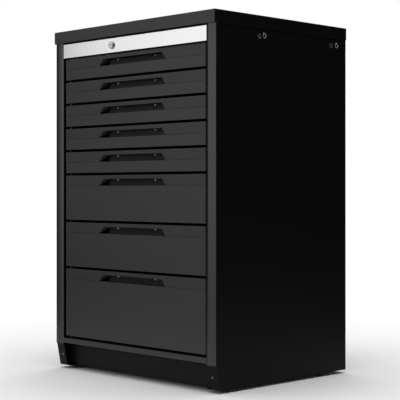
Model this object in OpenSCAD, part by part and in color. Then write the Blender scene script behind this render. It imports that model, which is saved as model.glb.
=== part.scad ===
// Tall steel drawer cabinet for a workshop: eight full-extension drawers under a folded top cover,
// a central lock in the trim strip, a set-back kick plate and four levelling feet.
// Millimetres, +Z up, front towards -Y. Origin: middle of the footprint, on the floor.

/* [Casing] */
// Width over the top cover
cover_w = 680; // [600:5:760]
// Depth over the top cover
cover_d = 550; // [500:5:640]
// Height of the top cover's upper face above the floor
total_h = 1009; // [960:1:1060]
// Height of the top cover's turned-down flange
cover_flange = 35; // [25:1:45]
// Thickness of the casing sheet
sheet = 1.5; // [1:0.1:2]
// Width of each front post
post_w = 35; // [30:1:42]
// Height of the underside of the front posts, above which the casing comes forward
kick_h = 75; // [60:1:90]
// Height of the bottom edge of the side panels
panel_z = 9; // [6:1:16]

/* [Drawers] */
// Height of one drawer unit, front and gap together
unit_h = 69.3; // [64:0.1:70]
// Gap between two drawer fronts
front_gap = 7.3; // [4:0.1:10]
// Top edge of the uppermost drawer front
stack_top = 924.5; // [890:0.5:926]
// Half width of the drawer fronts
front_half = 296; // [280:0.5:298]
// Depth of a drawer front, from its face to the tray
front_deep = 22; // [20:0.5:26]
// Thickness of the tray sheet
tray_sheet = 1; // [0.8:0.1:1.5]
// Rear end of the trays
tray_rear = 250; // [200:5:250]

/* [Finger grips] */
// Height of the moulded grip strip at the top of each front
grip_h = 30; // [28:0.5:34]
// Height of the lip above the recess
lip_h = 10.7; // [8:0.1:14]
// Depth of the recess
grip_deep = 20; // [16:0.5:20]
// Half width of the recess mouth at its bottom edge
mouth_low = 142; // [110:1:200]
// Half width of the recess mouth at its top edge
mouth_high = 125.5; // [95:0.5:180]

/* [Slides] */
// Height of the outer rail section
rail_h = 35; // [30:1:36]
// Thickness of the rail steel
rail_sheet = 1.2; // [1:0.1:1.5]
// Front end of all rails
rail_front = -241; // [-241:1:-230]

/* [Lock] */
// Sideways place of the lock, measured from the middle
lock_x = -82; // [-140:1:-60]
// Height of the lock's axis
lock_z = 950; // [946:0.5:952]
// Radius of the lock's collar
collar_r = 10.5; // [9:0.5:12]

/* [Feet] */
// Radius of a foot pad
pad_r = 25; // [18:0.5:28]
// Sideways place of the feet
foot_x = 312; // [300:1:312]
// Distance of the feet from the middle, front to back
foot_y = 195; // [150:1:205]

/* [Hidden] */

$fn = 48;

anthracite = [0.21, 0.21, 0.22];
black = [0.07, 0.07, 0.075];
zinc = [0.72, 0.73, 0.74];
silver = [0.82, 0.82, 0.83];
nylon = [0.05, 0.05, 0.05];

// Drawer heights in units, from the top down
UNITS = [1, 1, 1, 1, 1, 2, 2, 3];
function sum_to(n) = n <= 0 ? 0 : UNITS[n - 1] + sum_to(n - 1);
function front_height(n) = UNITS[n - 1] * unit_h - front_gap;
function front_top(n) = stack_top - sum_to(n - 1) * unit_h;
function front_base(n) = front_top(n) - front_height(n);

// Casing planes
cover_under = total_h - cover_flange;
cover_half = cover_w / 2;
side_half = cover_half - 2;
inner_half = side_half - sheet;
post_in = side_half - post_w;
back_y = cover_d / 2 - 2;
back_in = back_y - sheet;
body_top = total_h - sheet;
post_overhang = 3.5;
post_deep = 25.5;
bevel_deep = 3.2;
outer_bevel = 16.5;
inner_bevel = 9;
post_face = -cover_d / 2 + post_overhang;
post_edge = post_face + bevel_deep;
post_back = post_face + post_deep;
trim_face = post_edge - 0.2;
drawer_face = trim_face + 3.8;

// Kick zone: the side panels' lower front edge slopes back towards the floor
kick_top_y = -266;
kick_low_y = -253;
kick_flange_in = 305;
foot_flange_in = 286;
return_in = 312;
kick_plate_y = -232;
kick_lean = atan((kick_low_y - kick_top_y) / (kick_h - panel_z));
base_z = kick_h + 3;
base_sheet = 1.2;

// Cross rails at the front
bottom_rail_top = stack_top - sum_to(8) * unit_h;
trim_z0 = 929;
trim_z1 = 969.5;
trim_sheet = 1.2;

// Uprights that carry the slides, behind the posts and near the back
slide_plane = post_in - 1;
upright_front_y = -241.5;
upright_rear_y = 240;
upright_deep = 28;

// Rails, sideways from the tray to the upright
tray_half = 289;
rail_rear = 253;
rail_drop = 27;

// Tray
tray_front = drawer_face + front_deep;
tray_floor_up = 5;
tray_top_down = 8;
hem_h = 6;
hem_t = 2.2;

// Fasteners and inserts
screw_r = 3.6;
screw_head = 2.2;
grip_screw_x = 79;
grip_screw_down = 14;
insert_y = [-79, 231];
insert_z = 955;
insert_r = 5.5;
insert_bore = 4;
insert_flange = 7.5;
slot_screw_y = [-101, 206];
slot_screw_z = 952;
slot_screw_r = 6.9;
slot_screw_slot = 4.6;
slot_screw_hole = 5.6;
stem_r = 5;
stem_gap = 0.3;
nut_across = 17;
nut_h = 8;

// Lock
barrel_r = 9.5;
plug_r = 7;
lock_face = -cover_d / 2 + 0.1;
housing_rear = -248.5;
cam_front = -247.8;
cam_rear = -245.2;
cam_r = 8;
cam_pin_r = 2;
bar_lift = 8;
cam_throw = bar_lift / sqrt(2);
bar_front = -244.8;
bar_t = 2;
bar_h = 16;
bar_gap = 0.35;
bar_leg_x = -330;
bar_leg_w = 18;
bar_leg_z = 110;

e = 0.01;

// ---- general shapes ----

// A box given by two opposite corners
module box(a, b) {
    translate([min(a[0], b[0]), min(a[1], b[1]), min(a[2], b[2])])
        cube([abs(b[0] - a[0]), abs(b[1] - a[1]), abs(b[2] - a[2])]);
}

// The same thing on the left and on the right
module both_sides() {
    children();
    mirror([1, 0, 0]) children();
}

// A rod along Y from y0 to y1
module rod_y(x, z, y0, y1, r) {
    translate([x, y0, z]) rotate([-90, 0, 0]) cylinder(h = y1 - y0, r = r);
}

// A rod along X from x0 to x1
module rod_x(y, z, x0, x1, r) {
    translate([x0, y, z]) rotate([0, 90, 0]) cylinder(h = x1 - x0, r = r);
}

// A pan-head screw's head on a face looking towards -Y, with a cross recess
module pan_head(r = screw_r, h = screw_head) {
    difference() {
        rotate([90, 0, 0]) union() {
            cylinder(h = h * 0.55, r = r);
            translate([0, 0, h * 0.55]) cylinder(h = h * 0.45, r1 = r, r2 = r * 0.62);
        }
        for (turn = [0, 90])
            rotate([0, turn, 0]) box([-r * 0.5, -h - 1, -0.45], [r * 0.5, -h * 0.45, 0.45]);
    }
}

// ---- casing ----

// Plan outline of the right front post, t inside its outer skin
function post_outline(t) = [
    [side_half - t, post_edge + t],
    [side_half - outer_bevel, post_face + t],
    [post_in + inner_bevel, post_face + t],
    [post_in + t, post_edge + t],
    [post_in + t, post_back - t],
    [side_half - t, post_back - t]
];

// One side of the casing: skin, front post, sloped kick flange and the returns round the edges
module side_panel() {
    difference() {
        union() {
            translate([inner_half, 0, 0]) rotate([90, 0, 90]) linear_extrude(height = sheet)
                polygon([
                    [back_y, panel_z], [kick_low_y, panel_z], [kick_top_y, kick_h],
                    [post_back, kick_h], [post_back, body_top], [back_y, body_top]
                ]);
            translate([0, 0, kick_h]) linear_extrude(height = body_top - kick_h) difference() {
                polygon(post_outline(0));
                polygon(post_outline(sheet));
            }
            translate([kick_flange_in, 0, 0]) rotate([90, 0, 90])
                linear_extrude(height = inner_half - kick_flange_in)
                    polygon([
                        [kick_low_y, panel_z], [kick_top_y, kick_h],
                        [kick_top_y + sheet, kick_h], [kick_low_y + sheet, panel_z]
                    ]);
            box([foot_flange_in, kick_low_y + e, panel_z], [inner_half, back_in, panel_z + sheet]);
            box([return_in, back_in - sheet, panel_z + sheet], [inner_half, back_in, body_top]);
            box([return_in, post_back, body_top - sheet], [inner_half, back_in - sheet, body_top]);
        }
        for (y = [-foot_y, foot_y])
            translate([foot_x, y, panel_z - 1]) cylinder(h = sheet + 2, r = stem_r + 2 * stem_gap);
        for (y = insert_y) rod_x(y, insert_z, inner_half - 1, side_half + 1, insert_r);
        for (y = slot_screw_y) rod_x(y, slot_screw_z, inner_half - 1, side_half + 1, slot_screw_hole);
    }
}

module right_side_panel() {
    color(black) side_panel();
}

module left_side_panel() {
    color(black) mirror([1, 0, 0]) side_panel();
}

// Back sheet between the side panels, with two pressed stiffening channels
module back_panel() {
    channel_w = 60;
    channel_in = 4;
    channel_x = 150;
    low = 130;
    high = 900;
    color(black) difference() {
        union() {
            box([-inner_half, back_in, panel_z], [inner_half, back_y, body_top]);
            for (x = [-channel_x, channel_x])
                box([x - channel_w / 2, back_in - channel_in, low], [x + channel_w / 2, back_in, high]);
        }
        for (x = [-channel_x, channel_x])
            box(
                [x - channel_w / 2 + sheet, back_in - channel_in + sheet, low + sheet],
                [x + channel_w / 2 - sheet, back_y + 1, high - sheet]
            );
    }
}

// Folded cover that caps the casing, with four turned-down flanges
module top_cover() {
    color(anthracite) difference() {
        box([-cover_half, -cover_d / 2, cover_under], [cover_half, cover_d / 2, total_h]);
        box(
            [-cover_half + sheet, -cover_d / 2 + sheet, cover_under - 1],
            [cover_half - sheet, cover_d / 2 - sheet, total_h - sheet]
        );
    }
}

// Floor of the casing, with a turned-down edge at the back
module base_panel() {
    rear = back_in - sheet;
    edge_h = 20;
    color(black) union() {
        box([-inner_half, post_back, base_z], [inner_half, rear, base_z + base_sheet]);
        box([-inner_half, rear - base_sheet, base_z - edge_h], [inner_half, rear, base_z]);
    }
}

// Set-back plinth plate with a flange at the top and at the bottom
module kick_plate() {
    low = panel_z + sheet;
    flange_half = 270;
    flange_deep = 18;
    color(black) union() {
        box([-inner_half, kick_plate_y, low], [inner_half, kick_plate_y + sheet, base_z]);
        for (z = [low, base_z - sheet])
            translate([-flange_half, kick_plate_y + sheet, z]) cube([2 * flange_half, flange_deep, sheet]);
    }
}

// A channel between the front posts, open towards the back
module front_channel(face, z0, z1) {
    box([-post_in, face, z0], [post_in, face + sheet, z1]);
    for (z = [z0, z1 - sheet])
        box([-post_in, face + sheet, z], [post_in, post_back - 1, z + sheet]);
}

// Cross rail under the lowest drawer
module bottom_rail() {
    color(anthracite) front_channel(trim_face, base_z, bottom_rail_top);
}

// Cross rail above the uppermost drawer, drilled for the lock
module lock_rail() {
    face = trim_face + trim_sheet;
    color(black) difference() {
        front_channel(face, trim_z0, trim_z1);
        rod_y(lock_x, lock_z, face - 1, face + sheet + 1, barrel_r + 0.3);
    }
}

// Bright strip on the face of the lock rail
module trim_strip() {
    color(silver) difference() {
        box([-post_in + 0.3, trim_face, trim_z0], [post_in - 0.3, trim_face + trim_sheet, trim_z1]);
        rod_y(lock_x, lock_z, trim_face - 1, trim_face + trim_sheet + 1, barrel_r + 0.3);
    }
}

// Four channel uprights: their inner face carries the outer rails
module slide_uprights() {
    upright_h = 890;
    color(zinc) both_sides() for (y = [upright_front_y, upright_rear_y])
        translate([0, y, base_z + base_sheet]) difference() {
            box([slide_plane, 0, 0], [inner_half, upright_deep, upright_h]);
            box([slide_plane + sheet, sheet, -1], [inner_half + 1, upright_deep - sheet, upright_h + 1]);
        }
}

// ---- slides ----

// Height of the rails' middle line in drawer n
function rail_z(n) = front_base(n) + rail_drop;

// A channel rail: web from x0 to x0 + rail_sheet, flanges reaching to x1
module channel_rail(x0, x1, half_h, z, rear) {
    box([x0, rail_front, z - half_h], [x0 + rail_sheet, rear, z + half_h]);
    near = x1 > x0 ? x0 + rail_sheet : x0;
    for (side = [-1, 1])
        box([near, rail_front, z + side * half_h], [x1, rear, z + side * (half_h - rail_sheet)]);
}

// Outer rails, one pair for each drawer, fixed on the uprights
module outer_rails() {
    color(zinc) both_sides() for (n = [1 : 8])
        channel_rail(slide_plane - rail_sheet, tray_half + 2.4, rail_h / 2, rail_z(n), rail_rear);
}

// Middle rails of drawer n, which travel half as far as the drawer
module middle_rails(n) {
    color(zinc) both_sides()
        channel_rail(slide_plane - 2 * rail_sheet - 1, tray_half + 3, rail_h / 2 - 2.7, rail_z(n), rail_rear);
}

// Inner rails of drawer n on the sides of its tray, and the two screws that hold its grip strip
module inner_rails_screws(n) {
    color(zinc) union() {
        both_sides()
            channel_rail(tray_half, slide_plane - 2 * rail_sheet - 1.6, rail_h / 2 - 6.2, rail_z(n), tray_rear);
        for (x = [-grip_screw_x, grip_screw_x])
            translate([x, drawer_face + grip_deep, front_top(n) - grip_screw_down]) pan_head(3.2, 2);
    }
}

// ---- drawers ----

// Lower part of a drawer front: a folded pan, open towards the tray
module drawer_front(n) {
    seam = 0.4;
    wall = 1.2;
    z0 = front_base(n);
    z1 = front_top(n) - grip_h - seam;
    color(anthracite) difference() {
        box([-front_half, drawer_face, z0], [front_half, tray_front, z1]);
        box(
            [-front_half + wall, drawer_face + wall, z0 + wall],
            [front_half - wall, tray_front + 1, z1 - wall]
        );
    }
}

// The finger recess: a trapezoid mouth that narrows towards its back wall
module finger_recess() {
    module slice(low, high, y, drop, rise) {
        translate([0, y, 0]) rotate([90, 0, 0]) linear_extrude(height = e)
            polygon([[-low, drop], [low, drop], [high, rise], [-high, rise]]);
    }
    hull() {
        slice(mouth_low, mouth_high, drawer_face - e, -grip_h - 1, -lip_h);
        slice(mouth_low - 20, mouth_high - 13.5, drawer_face + grip_deep, -grip_h - 1, -lip_h);
    }
    box([-105, drawer_face + 3.5, -lip_h - 1], [105, drawer_face + grip_deep - e, -lip_h + 7.5]);
}

// Moulded strip along the top of a drawer front, hollow at the back on each side of the recess
module drawer_grip(n) {
    wall = 2;
    hollow_in = mouth_low + 3;
    color(anthracite) translate([0, 0, front_top(n)]) difference() {
        box([-front_half, drawer_face, -grip_h], [front_half, tray_front, 0]);
        finger_recess();
        for (side = [-1, 1])
            box(
                [side * hollow_in, drawer_face + wall, -grip_h + wall],
                [side * (front_half - wall), tray_front + 1, -wall]
            );
    }
}

// Open sheet tray with a folded hem along its four top edges
module drawer_tray(n) {
    z0 = front_base(n) + tray_floor_up;
    z1 = front_top(n) - tray_top_down;
    color(black) difference() {
        box([-tray_half, tray_front, z0], [tray_half, tray_rear, z1]);
        box(
            [-tray_half + tray_sheet, tray_front + tray_sheet, z0 + tray_sheet],
            [tray_half - tray_sheet, tray_rear - tray_sheet, z1 - hem_h]
        );
        box(
            [-tray_half + hem_t, tray_front + hem_t, z1 - hem_h - 1],
            [tray_half - hem_t, tray_rear - hem_t, z1 + 1]
        );
    }
}

// ---- feet and fasteners ----

// Levelling foot: a round pad on a threaded stem
module foot(x, y) {
    pad_h = panel_z - 0.6;
    color(nylon) translate([x, y, 0]) union() {
        cylinder(h = 1.2, r1 = pad_r - 1.2, r2 = pad_r);
        translate([0, 0, 1.2]) cylinder(h = pad_h - 3.2, r = pad_r);
        translate([0, 0, pad_h - 2]) cylinder(h = 2, r1 = pad_r, r2 = pad_r - 3);
        translate([0, 0, pad_h]) cylinder(h = 52, r = stem_r);
    }
}

module foot_front_left() {
    foot(-foot_x, -foot_y);
}

module foot_front_right() {
    foot(foot_x, -foot_y);
}

module foot_rear_left() {
    foot(-foot_x, foot_y);
}

module foot_rear_right() {
    foot(foot_x, foot_y);
}

// Threaded inserts in the side panels, for linking the cabinet to a neighbour or a side rail
module side_inserts() {
    color(zinc) both_sides() for (y = insert_y) difference() {
        union() {
            rod_x(y, insert_z, inner_half - 12, side_half, insert_r);
            rod_x(y, insert_z, side_half, side_half + 1, insert_flange);
        }
        rod_x(y, insert_z, inner_half - 13, side_half + 2, insert_bore);
    }
}

// Round screw with a wide slot across its head, through a side panel
module slotted_screw(y) {
    head_t = 1.4;
    half_slot = slot_screw_slot / 2;
    difference() {
        union() {
            rod_x(y, slot_screw_z, inner_half - 9, side_half, slot_screw_hole - 0.1);
            rod_x(y, slot_screw_z, side_half, side_half + head_t, slot_screw_r);
        }
        box(
            [side_half - 2, y - slot_screw_r - 1, slot_screw_z - half_slot],
            [side_half + head_t + 1, y + slot_screw_r + 1, slot_screw_z + half_slot]
        );
    }
}

// Screws of the kick flanges, the back panel and the side panels, and the nuts of the feet
module casing_fasteners() {
    kick_screw_z = 42;
    kick_screw_y = kick_low_y + (kick_screw_z - panel_z) * (kick_top_y - kick_low_y) / (kick_h - panel_z);
    color(zinc) both_sides() {
        translate([316.5, kick_screw_y, kick_screw_z]) rotate([kick_lean, 0, 0]) pan_head();
        for (z = [50 : 180 : 950])
            translate([325, back_y, z]) rotate([0, 0, 180]) pan_head(h = 1.8);
        for (y = slot_screw_y) slotted_screw(y);
        for (y = [-foot_y, foot_y])
            translate([foot_x, y, panel_z + sheet]) difference() {
                cylinder(h = nut_h, d = nut_across, $fn = 6);
                translate([0, 0, -1]) cylinder(h = nut_h + 2, r = stem_r + stem_gap);
            }
    }
}

// ---- lock ----

// Fixed collar and barrel of the lock
module lock_housing() {
    color(silver) difference() {
        union() {
            rod_y(lock_x, lock_z, lock_face + 0.9, trim_face, collar_r);
            rod_y(lock_x, lock_z, trim_face, housing_rear, barrel_r);
        }
        rod_y(lock_x, lock_z, lock_face - 1, housing_rear + 1, plug_r + 0.3);
    }
}

// Turning plug with its key slot, and at the back a cam disc with an off-centre pin
module lock_plug() {
    pin_x = lock_x - cam_throw * cos(45);
    pin_z = lock_z - cam_throw * sin(45);
    color(silver) union() {
        difference() {
            rod_y(lock_x, lock_z, lock_face, cam_front, plug_r);
            box([lock_x - 4.6, lock_face - 1, lock_z - 0.9], [lock_x + 4.6, lock_face + 9, lock_z + 0.9]);
        }
        rod_y(lock_x, lock_z, cam_front, cam_rear, cam_r);
        rod_y(pin_x, pin_z, cam_rear, bar_front + bar_t + 0.6, cam_pin_r);
    }
}

// Locking bar: it rests on the plug's pin, which lifts it, and its long leg hangs behind the left post
module lock_bar() {
    pin_top = lock_z - cam_throw * sin(45) + cam_pin_r;
    z0 = pin_top + bar_gap;
    y1 = bar_front + bar_t;
    color(zinc) union() {
        box([bar_leg_x, bar_front, z0], [lock_x + 18, y1, z0 + bar_h]);
        box([bar_leg_x, bar_front, bar_leg_z], [bar_leg_x + bar_leg_w, y1, z0 + e]);
    }
}

left_side_panel();
right_side_panel();
back_panel();
top_cover();
base_panel();
kick_plate();
bottom_rail();
lock_rail();
trim_strip();
slide_uprights();
outer_rails();
side_inserts();
casing_fasteners();
foot_front_left();
foot_front_right();
foot_rear_left();
foot_rear_right();
lock_housing();
lock_plug();
lock_bar();
for (n = [1 : 8]) {
    drawer_front(n);
    drawer_grip(n);
    drawer_tray(n);
    inner_rails_screws(n);
    middle_rails(n);
}
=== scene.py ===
"""Looks of the tall steel drawer cabinet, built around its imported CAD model.

Metres, +Z up, front towards -Y, as in the CAD model. The script gives every part its finish, rounds the
folds of the sheet metal, adds ball cages and foot threads, and sets up floor, light and camera.
"""

import math

import bmesh
import bpy
from mathutils import Matrix, Vector


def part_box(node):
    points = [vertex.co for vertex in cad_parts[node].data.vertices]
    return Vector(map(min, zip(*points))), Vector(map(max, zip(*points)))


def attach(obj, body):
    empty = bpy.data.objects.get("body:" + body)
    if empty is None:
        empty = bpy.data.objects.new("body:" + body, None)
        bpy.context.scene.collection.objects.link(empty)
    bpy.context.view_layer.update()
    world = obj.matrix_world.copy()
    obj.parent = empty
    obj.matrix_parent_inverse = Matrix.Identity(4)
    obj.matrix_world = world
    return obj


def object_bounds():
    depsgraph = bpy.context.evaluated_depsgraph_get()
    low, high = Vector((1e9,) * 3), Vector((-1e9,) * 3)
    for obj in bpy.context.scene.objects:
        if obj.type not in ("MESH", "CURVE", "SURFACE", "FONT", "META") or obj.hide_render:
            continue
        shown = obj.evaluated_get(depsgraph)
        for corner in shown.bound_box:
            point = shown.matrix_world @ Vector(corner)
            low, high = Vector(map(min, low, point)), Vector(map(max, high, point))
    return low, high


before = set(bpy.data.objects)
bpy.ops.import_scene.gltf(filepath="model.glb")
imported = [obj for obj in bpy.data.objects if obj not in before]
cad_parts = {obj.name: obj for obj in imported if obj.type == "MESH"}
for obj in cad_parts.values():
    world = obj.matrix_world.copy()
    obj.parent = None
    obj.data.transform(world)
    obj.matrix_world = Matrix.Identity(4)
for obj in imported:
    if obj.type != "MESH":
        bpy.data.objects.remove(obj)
cad_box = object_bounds()

OBJECT_LOW, OBJECT_HIGH = cad_box
MM = 0.001
DRAWERS = range(1, 9)
SIDES = (-1, 1)
CORNERS = ("front_left", "front_right", "rear_left", "rear_right")


# ---- materials ----


class Finish:
    """A material with one Principled shader, put together node by node."""

    def __init__(self, name, **sockets):
        self.material = bpy.data.materials.new(name)
        self.material.use_nodes = True
        self.nodes = self.material.node_tree.nodes
        self.links = self.material.node_tree.links
        self.shader = self.nodes["Principled BSDF"]
        for label, value in sockets.items():
            self.shader.inputs[label.replace("_", " ")].default_value = value

    def node(self, kind, inputs=None, **settings):
        """Adds a node; inputs maps socket names to a value or to another node's output."""
        made = self.nodes.new("ShaderNode" + kind)
        for label, value in settings.items():
            setattr(made, label, value)
        for label, value in (inputs or {}).items():
            socket = made.inputs[label]
            if isinstance(value, bpy.types.NodeSocket):
                self.links.new(value, socket)
            else:
                socket.default_value = value
        return made

    def position(self, stretch=(1, 1, 1)):
        """Places on the object itself, stretched along each axis."""
        coords = self.node("TexCoord").outputs["Object"]
        return self.node("Mapping", {"Vector": coords, "Scale": stretch}).outputs["Vector"]

    def noise(self, scale, detail=2.0, stretch=(1, 1, 1)):
        made = self.node("TexNoise", {"Vector": self.position(stretch), "Scale": scale, "Detail": detail})
        return made.outputs["Fac"]

    def ramp(self, source, low, high, out_low=0.0, out_high=1.0):
        """Spreads source between low and high over out_low to out_high."""
        made = self.node("MapRange", {
            "Value": source, "From Min": low, "From Max": high, "To Min": out_low, "To Max": out_high,
        })
        return made.outputs["Result"]

    def blend(self, amount, first, second):
        """A colour between first and second."""
        made = self.node("Mix", data_type="RGBA")
        for socket, value in zip((made.inputs[0], made.inputs[6], made.inputs[7]), (amount, first, second)):
            if isinstance(value, bpy.types.NodeSocket):
                self.links.new(value, socket)
            else:
                socket.default_value = value
        return made.outputs[2]

    def relief(self, height, depth, strength=1.0, below=None):
        """A bump of the given depth in metres, on top of an earlier one."""
        inputs = {"Height": height, "Distance": depth, "Strength": strength}
        if below is not None:
            inputs["Normal"] = below
        return self.node("Bump", inputs).outputs["Normal"]

    def use(self, **sources):
        for label, source in sources.items():
            self.links.new(source, self.shader.inputs[label.replace("_", " ")])
        return self.material


def grey(level, tint=0.0):
    """A near-neutral colour; tint above 0 makes it slightly blue."""
    return (level * (1 - tint), level * (1 - tint / 2), level * (1 + tint), 1.0)


def powder_coat(name, level, roughness, specular, texture=1.0):
    """Fine-textured stoved powder: grains of about a millimetre, uneven gloss, slow changes of tone."""
    coat = Finish(name, Specular_IOR_Level=specular)
    slow = coat.ramp(coat.noise(3.5), 0.35, 0.65)
    speck = coat.ramp(coat.noise(1500, 1.0), 0.3, 0.7)
    tone = coat.blend(slow, grey(level * 0.97, 0.02), grey(level * 1.03, 0.03))
    colour = coat.blend(speck, tone, grey(level * 1.25, 0.03))
    gloss = coat.ramp(coat.noise(90, 2.0), 0.3, 0.7, roughness - 0.012, roughness + 0.012)
    peel = coat.relief(coat.noise(420, 1.0), 0.00012 * texture)
    grain = coat.relief(coat.noise(1100, 2.0), 0.00005 * texture, below=peel)
    return coat.use(Base_Color=colour, Roughness=gloss, Normal=grain)


def brushed_aluminium(name):
    """Satin-anodised strip with fine lines along its length."""
    metal = Finish(name, Metallic=1.0)
    lines = metal.noise(60, 3.0, (0.12, 1, 90))
    broad = metal.noise(5, 2.0, (0.5, 1, 1))
    tone = metal.blend(metal.ramp(lines, 0.3, 0.7), grey(0.87, 0.01), grey(0.95, 0.01))
    gloss = metal.ramp(broad, 0.3, 0.7, 0.24, 0.29)
    return metal.use(Base_Color=tone, Roughness=gloss, Normal=metal.relief(lines, 0.000006))


def zinc_steel(name):
    """Bright zinc plating: faintly blue and clouded, with fine rolling lines along the strip."""
    metal = Finish(name, Metallic=1.0)
    clouds = metal.ramp(metal.noise(38, 3.0), 0.3, 0.7)
    tone = metal.blend(clouds, grey(0.5, 0.02), grey(0.6, 0.03))
    gloss = metal.ramp(metal.noise(70, 2.0), 0.3, 0.7, 0.3, 0.38)
    rolled = metal.noise(30, 2.0, (60, 0.6, 60))
    return metal.use(Base_Color=tone, Roughness=gloss, Normal=metal.relief(rolled, 0.000003))


def plated_steel(name, level, roughness):
    """Screws and inserts: smooth plating with a faint haze."""
    metal = Finish(name, Metallic=1.0)
    haze = metal.noise(260, 2.0)
    tone = metal.blend(metal.ramp(haze, 0.3, 0.7), grey(level * 0.94, 0.01), grey(level * 1.06, 0.01))
    gloss = metal.ramp(haze, 0.3, 0.7, roughness - 0.02, roughness + 0.03)
    return metal.use(Base_Color=tone, Roughness=gloss, Normal=metal.relief(haze, 0.000004))


def satin_nickel(name):
    """Turned and satin-plated lock face."""
    metal = Finish(name, Metallic=1.0)
    fine = metal.noise(900, 2.0)
    tone = metal.blend(metal.ramp(metal.noise(120), 0.3, 0.7), grey(0.6), grey(0.74))
    gloss = metal.ramp(fine, 0.3, 0.7, 0.16, 0.26)
    return metal.use(Base_Color=tone, Roughness=gloss, Normal=metal.relief(fine, 0.00001))


def grained_plastic(name, level, roughness, specular=0.5):
    """Moulded plastic with an eroded leather-like grain."""
    plastic = Finish(name, Specular_IOR_Level=specular)
    slow = plastic.ramp(plastic.noise(9), 0.3, 0.7)
    tone = plastic.blend(slow, grey(level * 0.9), grey(level * 1.1))
    cells = plastic.node("TexVoronoi", {"Vector": plastic.position(), "Scale": 1300.0})
    gloss = plastic.ramp(plastic.noise(60, 2.0), 0.3, 0.7, roughness - 0.04, roughness + 0.04)
    leather = plastic.relief(cells.outputs["Distance"], 0.00006)
    return plastic.use(Base_Color=tone, Roughness=gloss, Normal=leather)


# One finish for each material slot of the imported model
FINISHES = {
    "front_powder_coat": powder_coat("anthracite_powder_coat", 0.018, 0.41, 0.5),
    # The side panels' own darker paint, also used as painted shade on the lid's side flanges
    "side_powder_coat": powder_coat("side_coat_and_lid_side_shade", 0.004, 0.43, 0.1),
    "inner_powder_coat": powder_coat("black_powder_coat", 0.007, 0.52, 0.12),
    "tray_powder_coat": powder_coat("tray_powder_coat", 0.02, 0.45, 0.4),
    "grip_moulding": grained_plastic("grip_plastic", 0.018, 0.43),
    "brushed_trim": brushed_aluminium("brushed_strip"),
    "zinc_steel": zinc_steel("zinc_plating"),
    "lock_chrome": satin_nickel("satin_nickel"),
    "foot_nylon": grained_plastic("black_nylon", 0.008, 0.5),
}

# Finishes of single faces that look different from the rest of their node. The post coat is glossier; the
# recess finishes and the post's inner coat are painted shade, darker copies where shade falls
# Painted shade: a darker matt copy of the grip plastic inside the recess, and a near-black one for its end
# walls and the underside of its lip
RECESS_SHADE = grained_plastic("recess_painted_shade", 0.011, 0.6, 0.28)
RECESS_END_SHADE = grained_plastic("recess_end_painted_shade", 0.003, 0.6, 0.1)
POST_COAT = powder_coat("post_powder_coat", 0.014, 0.34, 0.72)
# Painted shade: a darker, less glossy copy of the post coat for the right post's bevel beside the drawers
POST_INNER_SHADE = powder_coat("post_inner_painted_shade", 0.0105, 0.41, 0.29)
BRIGHT_PLATING = plated_steel("bright_plating", 0.86, 0.15)
DARK_PLATING = plated_steel("dark_plating", 0.2, 0.3)

# Where those faces lie, and how far they turn from the axes
POST_ZONE = OBJECT_LOW.y + 9 * MM
KICK_ZONE = OBJECT_LOW.y + 25 * MM
SIDE_ZONE = OBJECT_HIGH.x - 3.5 * MM
RECESS_BEHIND = 0.5 * MM
MOSTLY = 0.5
SLOPED = 0.3
SLIGHTLY = 0.1


def second_finish(name, material, chosen):
    """Gives the chosen faces of a CAD node another material."""
    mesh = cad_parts[name].data
    mesh.materials.append(material)
    for face in mesh.polygons:
        if chosen(face):
            face.material_index = len(mesh.materials) - 1


def on_post_front(face):
    return face.normal.y < -MOSTLY and face.center.y < POST_ZONE


def on_inner_bevel(face):
    """True on the bevel of the right post that faces the drawers, where shade is painted."""
    return on_post_front(face) and face.normal.x < -SLIGHTLY


def on_side(face):
    return abs(face.normal.x) > MOSTLY


def in_kick_zone(face):
    return face.center.y < KICK_ZONE


def finish_casing():
    """The posts' fronts, the lid's side flanges, and the plated parts near the top and in the kick zone; the
    lid's side flanges and the right post's inner bevel get painted shade.
    """
    insert_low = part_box("side_inserts")[0].z

    def beside_insert(face):
        return face.center.z > insert_low and abs(face.center.x) > SIDE_ZONE

    for name in ("left_side_panel", "right_side_panel"):
        second_finish(name, POST_COAT, on_post_front)
    # Painted shade on the right post's inner bevel
    second_finish("right_side_panel", POST_INNER_SHADE, on_inner_bevel)
    # The lid is one paint all round; its side flanges take the darker side coat as painted shade
    second_finish("top_cover", FINISHES["side_powder_coat"], on_side)
    second_finish("side_inserts", BRIGHT_PLATING, lambda face: True)
    second_finish("casing_fasteners", DARK_PLATING, in_kick_zone)
    second_finish("casing_fasteners", BRIGHT_PLATING, beside_insert)


def finish_grip(n):
    """Darkens the finger recess of a grip strip with painted shade, most of all its ends and the underside of
    its lip.
    """
    name = f"drawer_{n}_grip"
    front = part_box(name)[0].y + RECESS_BEHIND

    def in_recess(face):
        return face.center.y > front

    def at_recess_end(face):
        return in_recess(face) and (abs(face.normal.x) > SLOPED or face.normal.z < -MOSTLY)

    # Painted shade in the recess, darkest on its ends and under the lip
    second_finish(name, RECESS_SHADE, in_recess)
    second_finish(name, RECESS_END_SHADE, at_recess_end)


def finish_cad_nodes():
    """Gives each CAD node the finish of its slot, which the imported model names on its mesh."""
    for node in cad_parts.values():
        for i, packed in enumerate(node.data.materials):
            node.data.materials[i] = FINISHES[packed.name]
    finish_casing()
    for n in DRAWERS:
        finish_grip(n)


# ---- rounded folds and edges ----

SAME_PLACE = 1e-6
FLAT = math.radians(0.6)
FOLD = math.radians(10.5)
CORNER = math.radians(28)
BROAD = 2.6 * MM


def edge_key(mesh, a, b):
    """Two vertices as one key that doesn't depend on how the mesh is split."""
    return frozenset(tuple(round(c / SAME_PLACE) for c in mesh.vertices[i].co) for i in (a, b))


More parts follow.
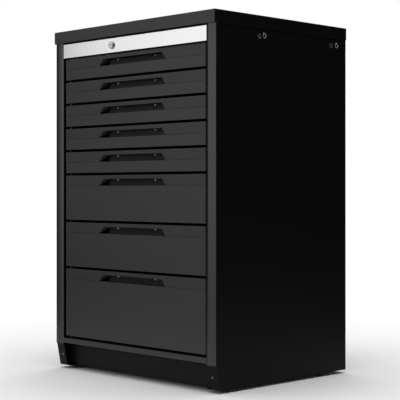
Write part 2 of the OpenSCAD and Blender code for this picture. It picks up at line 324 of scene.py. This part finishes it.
def flat_faces(mesh, edges):
    """Groups of triangles that lie in one plane: polygon index to group, and group to its mean width."""
    group = list(range(len(mesh.polygons)))

    def root(i):
        while group[i] != i:
            i = group[i]
        return i

    def coplanar(pair):
        return len(pair) == 2 and mesh.polygons[pair[0]].normal.angle(mesh.polygons[pair[1]].normal, 0) < FLAT

    for pair in edges.values():
        if coplanar(pair):
            group[root(pair[0])] = root(pair[1])
    group = [root(i) for i in range(len(group))]
    area = {}
    rim = {}
    for polygon in mesh.polygons:
        area[group[polygon.index]] = area.get(group[polygon.index], 0) + polygon.area
    for key, pair in edges.items():
        if coplanar(pair):
            continue
        ends = [Vector(end) for end in key]
        length = (ends[0] - ends[1]).length * SAME_PLACE if len(ends) == 2 else 0
        for i in pair:
            rim[group[i]] = rim.get(group[i], 0) + length
    return group, {g: 2 * area[g] / max(rim.get(g, 0), SAME_PLACE) for g in area}


def round_edges(name, fold_radius, edge_radius, folds_from=FOLD):
    """Rounds a CAD node's folds, where two broad faces meet, by one radius, other edges by a smaller one."""
    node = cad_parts[name]
    mesh = node.data
    for label in ("custom_normal", "sharp_edge"):
        if label in mesh.attributes:
            mesh.attributes.remove(mesh.attributes[label])
    edges = {}
    for polygon in mesh.polygons:
        corners = list(polygon.vertices)
        for a, b in zip(corners, corners[1:] + corners[:1]):
            edges.setdefault(edge_key(mesh, a, b), []).append(polygon.index)
    group, width = flat_faces(mesh, edges)
    weight = {}
    for key, pair in edges.items():
        if len(pair) != 2:
            continue
        first, second = (mesh.polygons[i] for i in pair)
        turn = first.normal.angle(second.normal, 0)
        hollow = (second.center - first.center).dot(first.normal) > 0
        if turn > folds_from and not hollow and min(width[group[i]] for i in pair) > BROAD:
            weight[key] = 1.0
        elif turn > CORNER:
            weight[key] = edge_radius / fold_radius
    layer = mesh.attributes.new("bevel_weight_edge", "FLOAT", "EDGE")
    for edge in mesh.edges:
        layer.data[edge.index].value = weight.get(edge_key(mesh, *edge.vertices), 0)
    for polygon in mesh.polygons:
        polygon.use_smooth = True
    weld = node.modifiers.new("join_split_edges", "WELD")
    weld.merge_threshold = SAME_PLACE
    merge = node.modifiers.new("merge_flat_faces", "DECIMATE")
    merge.decimate_type = "DISSOLVE"
    merge.angle_limit = FLAT
    bevel = node.modifiers.new("round_edges", "BEVEL")
    bevel.limit_method = "WEIGHT"
    bevel.width = fold_radius
    bevel.segments = 3
    bevel.use_clamp_overlap = True
    bevel.miter_outer = "MITER_ARC"
    shade = node.modifiers.new("even_shading", "WEIGHTED_NORMAL")
    shade.weight = 80
    shade.keep_sharp = False


def round_all_edges():
    """Sheet-metal folds about a sheet's thickness in radius, moulded edges finer, machined edges finest."""
    radii = {
        "top_cover": (2.2 * MM, 0.35 * MM),
        "left_side_panel": (2.0 * MM, 0.35 * MM),
        "right_side_panel": (2.0 * MM, 0.35 * MM),
        "bottom_rail": (1.2 * MM, 0.3 * MM),
        "back_panel": (1.2 * MM, 0.3 * MM),
        "kick_plate": (1.2 * MM, 0.3 * MM),
        "base_panel": (1.2 * MM, 0.3 * MM),
        "lock_rail": (1.0 * MM, 0.3 * MM),
        "trim_strip": (0.35 * MM, 0.2 * MM),
        "slide_uprights": (1.0 * MM, 0.3 * MM),
        "outer_rails": (0.8 * MM, 0.25 * MM),
        "side_inserts": (0.9 * MM, 0.8 * MM),
        "casing_fasteners": (0.6 * MM, 0.55 * MM),
        "lock_housing": (0.5 * MM, 0.4 * MM),
        "lock_plug": (0.4 * MM, 0.25 * MM),
        "lock_bar": (0.4 * MM, 0.25 * MM),
    }
    for corner in CORNERS:
        radii[f"foot_{corner}"] = (0.6 * MM, 0.4 * MM)
    for n in DRAWERS:
        radii[f"drawer_{n}_front"] = (0.6 * MM, 0.3 * MM)
        radii[f"drawer_{n}_grip"] = (0.5 * MM, 0.3 * MM)
        radii[f"drawer_{n}_tray"] = (1.0 * MM, 0.3 * MM)
        radii[f"drawer_{n}_inner_rails_screws"] = (0.8 * MM, 0.25 * MM)
        radii[f"drawer_{n}_middle_rails"] = (0.8 * MM, 0.25 * MM)
    for name, (fold_radius, edge_radius) in radii.items():
        round_edges(name, fold_radius, edge_radius)


# ---- small pieces beyond the CAD model ----

BALL_PITCH = 9 * MM
FRONT_BALL = 1.05 * MM
REAR_BALL = 0.7 * MM
RAIL_SHEET = 1.2 * MM
FRONT_GAP = 2.3 * MM
REAR_GAP = 1.5 * MM
BALL_LINE = 4.8 * MM
CLEAR_OF_ENDS = 5 * MM
CAGE_HALF_WIDTH = 2 * MM
CAGE_HALF_THICKNESS = 0.2 * MM
THREAD_PITCH = 1.5 * MM
THREAD_STEPS = 24
THREAD_ROOT = 4.95 * MM
THREAD_CREST = 5.2 * MM
PAD_TOP = 8.6 * MM


def add_piece(name, shape, body, material):
    """Turns a bmesh into a smooth piece that rides on a CAD body."""
    mesh = bpy.data.meshes.new(name)
    shape.to_mesh(mesh)
    shape.free()
    for polygon in mesh.polygons:
        polygon.use_smooth = True
    mesh.materials.append(material)
    piece = bpy.data.objects.new(name, mesh)
    bpy.context.scene.collection.objects.link(piece)
    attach(piece, body)


def ball_row(shape, x, z, start, end, ball):
    """Bearing balls of one radius along Y, held by a thin cage strip."""
    count = int((end - start) / BALL_PITCH)
    for i in range(count):
        place = Matrix.Translation((x, start + (i + 0.5) * BALL_PITCH, z))
        bmesh.ops.create_icosphere(shape, subdivisions=2, radius=ball, matrix=place)
    strip = Matrix.Translation((x, (start + end) / 2, z)) @ Matrix.Diagonal(
        (CAGE_HALF_WIDTH, (end - start) / 2, CAGE_HALF_THICKNESS, 1))
    bmesh.ops.create_cube(shape, size=2, matrix=strip)


def add_ball_cages(n):
    """Between a middle rail and the drawer's rail in front, and between it and the casing's rail behind."""
    low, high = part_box(f"drawer_{n}_middle_rails")
    centre = (low + high) / 2
    half_height = (high.z - low.z) / 2
    rows = (
        (half_height - RAIL_SHEET - FRONT_GAP / 2, low.y + CLEAR_OF_ENDS, centre.y, FRONT_BALL),
        (half_height + REAR_GAP / 2, centre.y, high.y - CLEAR_OF_ENDS, REAR_BALL),
    )
    shape = bmesh.new()
    for side in SIDES:
        for offset, start, end, ball in rows:
            for up in (-1, 1):
                ball_row(shape, side * (high.x - BALL_LINE), centre.z + up * offset, start, end, ball)
    add_piece(f"drawer_{n}_ball_cages", shape, f"drawer_{n}_middle_slides", BRIGHT_PLATING)


def add_foot_thread(corner):
    """The rolled thread on a levelling foot's stem."""
    low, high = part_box(f"foot_{corner}")
    axis = (low + high) / 2
    bottom = low.z + PAD_TOP
    turns = int((high.z - bottom) / THREAD_PITCH) - 1
    profile = ((-0.5, THREAD_ROOT), (-0.1, THREAD_CREST), (0.1, THREAD_CREST), (0.5, THREAD_ROOT))
    shape = bmesh.new()
    earlier = None
    for i in range(turns * THREAD_STEPS + 1):
        angle = math.tau * i / THREAD_STEPS
        z = bottom + (i / THREAD_STEPS + 0.5) * THREAD_PITCH
        ring = [
            shape.verts.new((
                axis.x + radius * math.cos(angle),
                axis.y + radius * math.sin(angle),
                z + step * THREAD_PITCH,
            ))
            for step, radius in profile
        ]
        if earlier:
            for a, b, c, d in zip(earlier, ring, ring[1:], earlier[1:]):
                shape.faces.new((a, b, c, d))
        earlier = ring
    add_piece(f"foot_{corner}_thread", shape, f"foot_{corner}", FINISHES["zinc_steel"])


def add_small_pieces():
    for n in DRAWERS:
        add_ball_cages(n)
    for corner in CORNERS:
        add_foot_thread(corner)


# ---- floor, light, camera ----

LIGHT_AIM = 0.55
WORLD_LIGHT = 0.04
FLOOR_RADIUS = 1.6
FLOOR_FADE = (0.5, 1.5)
FLOOR_BELOW = 0.5 * MM
LENS = 105.745
SENSOR = 36.0
CAMERA_SHIFT = -0.026875
CAMERA_PLACE = (2.49105, -2.45171, 0.53734)
CAMERA_AZIMUTH = 45.379


def around(azimuth, distance, height):
    """A point round the object: azimuth 0 is in front of it, 90 to its right."""
    turn = math.radians(azimuth)
    return Vector((math.sin(turn) * distance, -math.cos(turn) * distance, height))


def softbox(name, azimuth, distance, height, width, tall, radiance):
    """An area light of the given brightness, turned to the object, that the camera doesn't see."""
    data = bpy.data.lights.new(name, "AREA")
    data.shape = "RECTANGLE"
    data.size = width
    data.size_y = tall
    data.energy = radiance * math.pi * width * tall
    lamp = bpy.data.objects.new(name, data)
    lamp.location = around(azimuth, distance, height)
    lamp.rotation_euler = (Vector((0, 0, LIGHT_AIM)) - lamp.location).to_track_quat("-Z", "Y").to_euler()
    lamp.visible_camera = False
    bpy.context.scene.collection.objects.link(lamp)
    return lamp


def light_studio():
    """A broad key light that the fronts and the lid reflect, one at the side, one behind, one overhead."""
    softbox("key_front_left", azimuth=-17, distance=3.3, height=1.3, width=4.6, tall=2.6, radiance=1.04)
    softbox("side_strip", azimuth=86, distance=3.2, height=1.0, width=0.9, tall=2.2, radiance=1.4)
    softbox("behind", azimuth=205, distance=3.2, height=1.6, width=2.4, tall=2.0, radiance=1.0)
    overhead = softbox("overhead", azimuth=0, distance=0, height=3.4, width=4.0, tall=4.0, radiance=3.2)
    overhead.rotation_euler = (0, 0, 0)


def white_world():
    """Plain white behind everything, with only a little light of its own."""
    world = bpy.data.worlds.new("studio")
    world.use_nodes = True
    nodes = world.node_tree.nodes
    links = world.node_tree.links
    background = nodes["Background"]
    seen = nodes.new("ShaderNodeLightPath").outputs["Is Camera Ray"]
    strength = nodes.new("ShaderNodeMapRange")
    strength.inputs["To Min"].default_value = WORLD_LIGHT
    strength.inputs["To Max"].default_value = 1.0
    background.inputs["Color"].default_value = (1, 1, 1, 1)
    links.new(seen, strength.inputs["Value"])
    links.new(strength.outputs["Result"], background.inputs["Strength"])
    bpy.context.scene.world = world


def pale_floor():
    """A round pale floor that thins out to nothing towards its rim."""
    mesh = bpy.data.meshes.new("floor")
    shape = bmesh.new()
    bmesh.ops.create_circle(shape, cap_ends=True, segments=96, radius=FLOOR_RADIUS)
    shape.to_mesh(mesh)
    shape.free()
    floor = bpy.data.objects.new("floor", mesh)
    floor.location.z = -FLOOR_BELOW
    bpy.context.scene.collection.objects.link(floor)
    paint = Finish("pale_floor", Base_Color=(0.86, 0.86, 0.86, 1), Roughness=0.9, Specular_IOR_Level=0.1)
    length = paint.node("VectorMath", {0: paint.position()}, operation="LENGTH").outputs["Value"]
    paint.use(Alpha=paint.ramp(length, *FLOOR_FADE, 1.0, 0.0))
    mesh.materials.append(paint.material)


def place_camera():
    """A level camera before the right front edge, a little above half the object's height."""
    data = bpy.data.cameras.new("camera")
    data.lens = LENS
    data.sensor_width = SENSOR
    data.shift_y = CAMERA_SHIFT
    camera = bpy.data.objects.new("camera", data)
    camera.location = CAMERA_PLACE
    camera.rotation_euler = (math.radians(90), 0, math.radians(CAMERA_AZIMUTH))
    bpy.context.scene.collection.objects.link(camera)
    bpy.context.scene.camera = camera


finish_cad_nodes()
round_all_edges()
add_small_pieces()
light_studio()
white_world()
pale_floor()
place_camera()
bpy.context.scene.view_settings.view_transform = "Standard"
